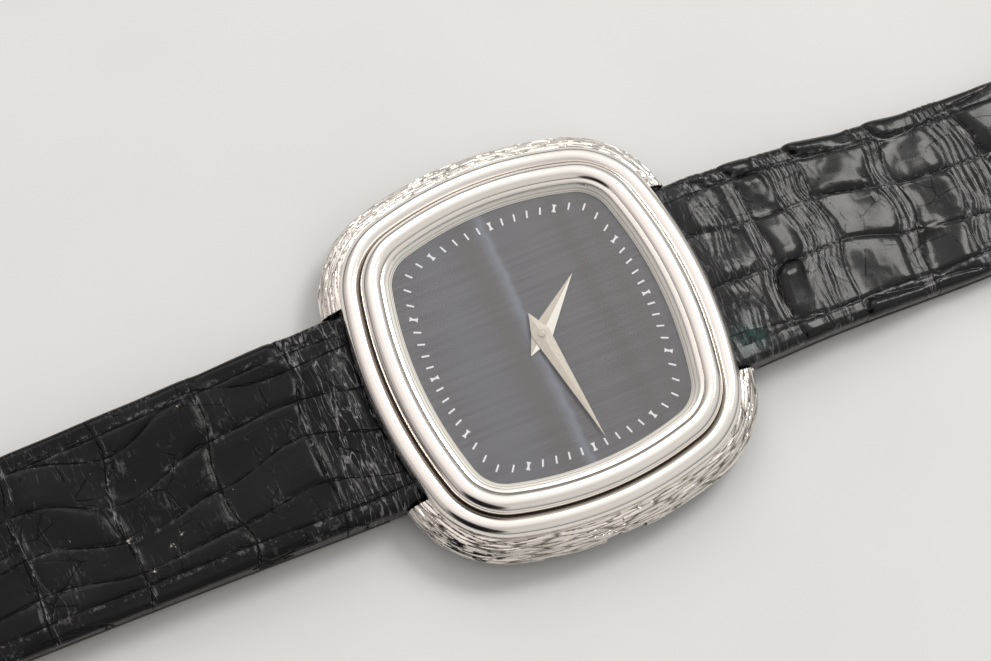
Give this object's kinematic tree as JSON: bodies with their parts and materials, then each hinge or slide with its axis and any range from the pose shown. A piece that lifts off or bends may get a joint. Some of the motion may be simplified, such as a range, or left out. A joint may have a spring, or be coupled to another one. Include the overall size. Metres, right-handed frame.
{
  "type": "wristwatch",
  "caption": "Cushion case wristwatch with a two-rib polished bezel, bark-textured flank, dark dial, two kite hands, hand-wound movement and buckled leather strap.",
  "frame": {"origin": "centre of the case back's flat outer face", "axes": "+Z out of the dial, +X to 3 o'clock and the crown, +Y to 12 o'clock and the buckle"},
  "size_m": [0.0361, 0.2276, 0.0068],
  "materials": {
    "polished_white_gold": "polished white gold",
    "chiselled_white_gold": "polished with a chiselled bark flank",
    "mineral_glass": "clear polished",
    "black_rubber": "matt",
    "steel_screw": "polished",
    "brass_holder": "turned",
    "slate_dial": "fine brushed",
    "white_print": "printed",
    "white_gold_hand": "satin",
    "rhodium_plate": "rhodium plated",
    "ruby": "polished",
    "brass_wheel": "gilt",
    "blued_spring": "spring steel",
    "movement_steel": "polished steel",
    "black_alligator": "glossy scaled",
    "lining_leather": "smooth matt",
    "buckle_white_gold": "polished"
  },
  "bodies": {
    "case": {"bezel": "polished_white_gold", "crystal": "mineral_glass", "crystal_gasket": "black_rubber", "rehaut_ring": "polished_white_gold", "case_middle": "chiselled_white_gold", "case_back": "polished_white_gold", "case_back_gasket": "black_rubber", "case_back_screws": "steel_screw", "movement_holder": "brass_holder", "dial": "slate_dial", "dial_markers": "white_print", "main_plate": "rhodium_plate", "barrel_bridge": "rhodium_plate", "train_bridge": "rhodium_plate", "balance_cock": "rhodium_plate", "pallet_bridge": "rhodium_plate", "bridge_screws": "steel_screw", "jewels": "ruby", "click_spring": "blued_spring", "hairspring": "blued_spring", "spring_bar_tubes": "movement_steel", "spring_bar_springs": "blued_spring"},
    "minute_hand": {"minute_hand": "white_gold_hand", "cannon_pinion": "movement_steel"},
    "minute_wheel": {"minute_wheel": "brass_wheel"},
    "hour_hand": {"hour_hand": "white_gold_hand", "hour_wheel": "brass_wheel"},
    "fourth_wheel": {"fourth_wheel": "brass_wheel"},
    "third_wheel": {"third_wheel": "brass_wheel"},
    "centre_wheel": {"centre_wheel": "brass_wheel"},
    "escape_wheel": {"escape_wheel": "movement_steel"},
    "barrel": {"barrel": "brass_wheel", "mainspring": "blued_spring"},
    "balance": {"balance_wheel": "brass_wheel", "roller": "movement_steel"},
    "pallet_fork": {"pallet_fork": "movement_steel", "pallet_stones": "ruby"},
    "setting_lever": {"setting_lever": "movement_steel"},
    "crown": {"crown": "polished_white_gold", "crown_washer": "black_rubber", "winding_stem": "movement_steel"},
    "stem_pinions": {"winding_pinion": "movement_steel", "sliding_pinion": "movement_steel"},
    "crown_wheel": {"crown_wheel": "movement_steel"},
    "ratchet": {"ratchet_wheel": "movement_steel", "barrel_arbor": "movement_steel"},
    "click": {"click": "movement_steel"},
    "strap_12": {"strap_12_leather": "black_alligator", "strap_12_lining": "lining_leather", "fixed_keeper": "black_alligator", "buckle_bar": "movement_steel"},
    "strap_6": {"strap_6_leather": "black_alligator", "strap_6_lining": "lining_leather"},
    "free_keeper": {"free_keeper": "black_alligator"},
    "buckle_frame": {"buckle_frame": "buckle_white_gold"},
    "buckle_tongue": {"buckle_tongue": "buckle_white_gold"},
    "bar_12_left_tip": {"bar_12_left_tip": "movement_steel"},
    "bar_12_right_tip": {"bar_12_right_tip": "movement_steel"},
    "bar_6_left_tip": {"bar_6_left_tip": "movement_steel"},
    "bar_6_right_tip": {"bar_6_right_tip": "movement_steel"}
  },
  "joints": [
    {"name": "minute_hand_turn", "type": "hinge", "parent": "case", "child": "minute_hand", "pos_m": [0, 0, 0.005], "axis": [0, 0, -1], "continuous": true},
    {"name": "minute_wheel_turn", "type": "hinge", "parent": "case", "child": "minute_wheel", "pos_m": [0.0012, -0.00208, 0.0045], "axis": [0, 0, -1], "continuous": true},
    {"name": "hour_hand_turn", "type": "hinge", "parent": "case", "child": "hour_hand", "pos_m": [0, 0, 0.005], "axis": [0, 0, -1], "continuous": true},
    {"name": "fourth_wheel_turn", "type": "hinge", "parent": "case", "child": "fourth_wheel", "pos_m": [-0.00399, -0.00169, 0.003], "axis": [0, 0, -1], "continuous": true},
    {"name": "third_wheel_turn", "type": "hinge", "parent": "case", "child": "third_wheel", "pos_m": [-0.00372, 0.00135, 0.003], "axis": [0, 0, -1], "continuous": true},
    {"name": "centre_wheel_turn", "type": "hinge", "parent": "case", "child": "centre_wheel", "pos_m": [0, 0, 0.003], "axis": [0, 0, -1], "continuous": true},
    {"name": "escape_wheel_turn", "type": "hinge", "parent": "case", "child": "escape_wheel", "pos_m": [-0.00267, -0.00398, 0.003], "axis": [0, 0, -1], "continuous": true},
    {"name": "barrel_turn", "type": "hinge", "parent": "case", "child": "barrel", "pos_m": [0.00324, 0.00386, 0.003], "axis": [0, 0, -1], "continuous": true},
    {"name": "balance_swing", "type": "hinge", "parent": "case", "child": "balance", "pos_m": [0.00215, -0.00532, 0.0025], "axis": [0, 0, 1], "range_deg": [-150, 150], "stiffness_Nm_per_rad": 0.00000005},
    {"name": "pallet_fork_swing", "type": "hinge", "parent": "case", "child": "pallet_fork", "pos_m": [-0.00098, -0.00445, 0.003], "axis": [0, 0, 1], "range_deg": [-6, 6]},
    {"name": "crown_pull", "type": "slide", "parent": "case", "child": "setting_lever", "axis": [1, 0, 0], "range_m": [0, 0.0005]},
    {"name": "crown_turn", "type": "hinge", "parent": "setting_lever", "child": "crown", "pos_m": [0.017, 0, 0.0022], "axis": [1, 0, 0], "continuous": true},
    {"name": "stem_pinions_turn", "type": "hinge", "parent": "case", "child": "stem_pinions", "pos_m": [0.0085, 0, 0.0022], "axis": [1, 0, 0], "continuous": true},
    {"name": "crown_wheel_turn", "type": "hinge", "parent": "case", "child": "crown_wheel", "pos_m": [0.00632, 0, 0.0014], "axis": [0, 0, 1], "continuous": true},
    {"name": "ratchet_turn", "type": "hinge", "parent": "case", "child": "ratchet", "pos_m": [0.00324, 0.00386, 0.0014], "axis": [0, 0, 1], "continuous": true},
    {"name": "click_swing", "type": "hinge", "parent": "case", "child": "click", "pos_m": [0.00041, 0.00658, 0.0014], "axis": [0, 0, 1], "range_deg": [0, 10], "stiffness_Nm_per_rad": 0.00001, "springref_deg": -5.73},
    {"name": "strap_12_swing", "type": "hinge", "parent": "case", "child": "strap_12", "pos_m": [0, 0.0143, 0.00255], "axis": [-1, 0, 0], "range_deg": [-6, 80]},
    {"name": "strap_6_swing", "type": "hinge", "parent": "case", "child": "strap_6", "pos_m": [0, -0.0143, 0.00255], "axis": [1, 0, 0], "range_deg": [-6, 80]},
    {"name": "free_keeper_slide", "type": "slide", "parent": "strap_12", "child": "free_keeper", "axis": [0, 1, 0], "range_m": [-0.0055, 0.0095]},
    {"name": "buckle_frame_swing", "type": "hinge", "parent": "strap_12", "child": "buckle_frame", "pos_m": [0.001, 0.0893, 0.0011], "axis": [1, 0, 0], "range_deg": [-40, 30]},
    {"name": "buckle_tongue_swing", "type": "hinge", "parent": "buckle_frame", "child": "buckle_tongue", "pos_m": [0.001, 0.0893, 0.0011], "axis": [1, 0, 0], "range_deg": [0, 70]},
    {"name": "bar_12_left_tip_push", "type": "slide", "parent": "case", "child": "bar_12_left_tip", "axis": [1, 0, 0], "range_m": [0, 0.0008], "stiffness_N_per_m": 1000, "springref_m": -0.0005, "deforming": ["spring_bar_springs"]},
    {"name": "bar_12_right_tip_push", "type": "slide", "parent": "case", "child": "bar_12_right_tip", "axis": [-1, 0, 0], "range_m": [0, 0.0008], "stiffness_N_per_m": 1000, "springref_m": -0.0005, "deforming": ["spring_bar_springs"]},
    {"name": "bar_6_left_tip_push", "type": "slide", "parent": "case", "child": "bar_6_left_tip", "axis": [1, 0, 0], "range_m": [0, 0.0008], "stiffness_N_per_m": 1000, "springref_m": -0.0005, "deforming": ["spring_bar_springs"]},
    {"name": "bar_6_right_tip_push", "type": "slide", "parent": "case", "child": "bar_6_right_tip", "axis": [-1, 0, 0], "range_m": [0, 0.0008], "stiffness_N_per_m": 1000, "springref_m": -0.0005, "deforming": ["spring_bar_springs"]}
  ],
  "couplings": [
    {"joint": "minute_wheel_turn", "follows": "minute_hand_turn", "ratio": -0.33333},
    {"joint": "hour_hand_turn", "follows": "minute_hand_turn", "ratio": 0.083333},
    {"joint": "third_wheel_turn", "follows": "fourth_wheel_turn", "ratio": -0.13333},
    {"joint": "centre_wheel_turn", "follows": "fourth_wheel_turn", "ratio": 0.016667},
    {"joint": "barrel_turn", "follows": "fourth_wheel_turn", "ratio": -0.0033333},
    {"joint": "escape_wheel_turn", "follows": "fourth_wheel_turn", "ratio": -10},
    {"joint": "stem_pinions_turn", "follows": "crown_turn", "ratio": 1},
    {"joint": "crown_wheel_turn", "follows": "crown_turn", "ratio": 0.42857},
    {"joint": "ratchet_turn", "follows": "crown_turn", "ratio": -0.25}
  ]
}
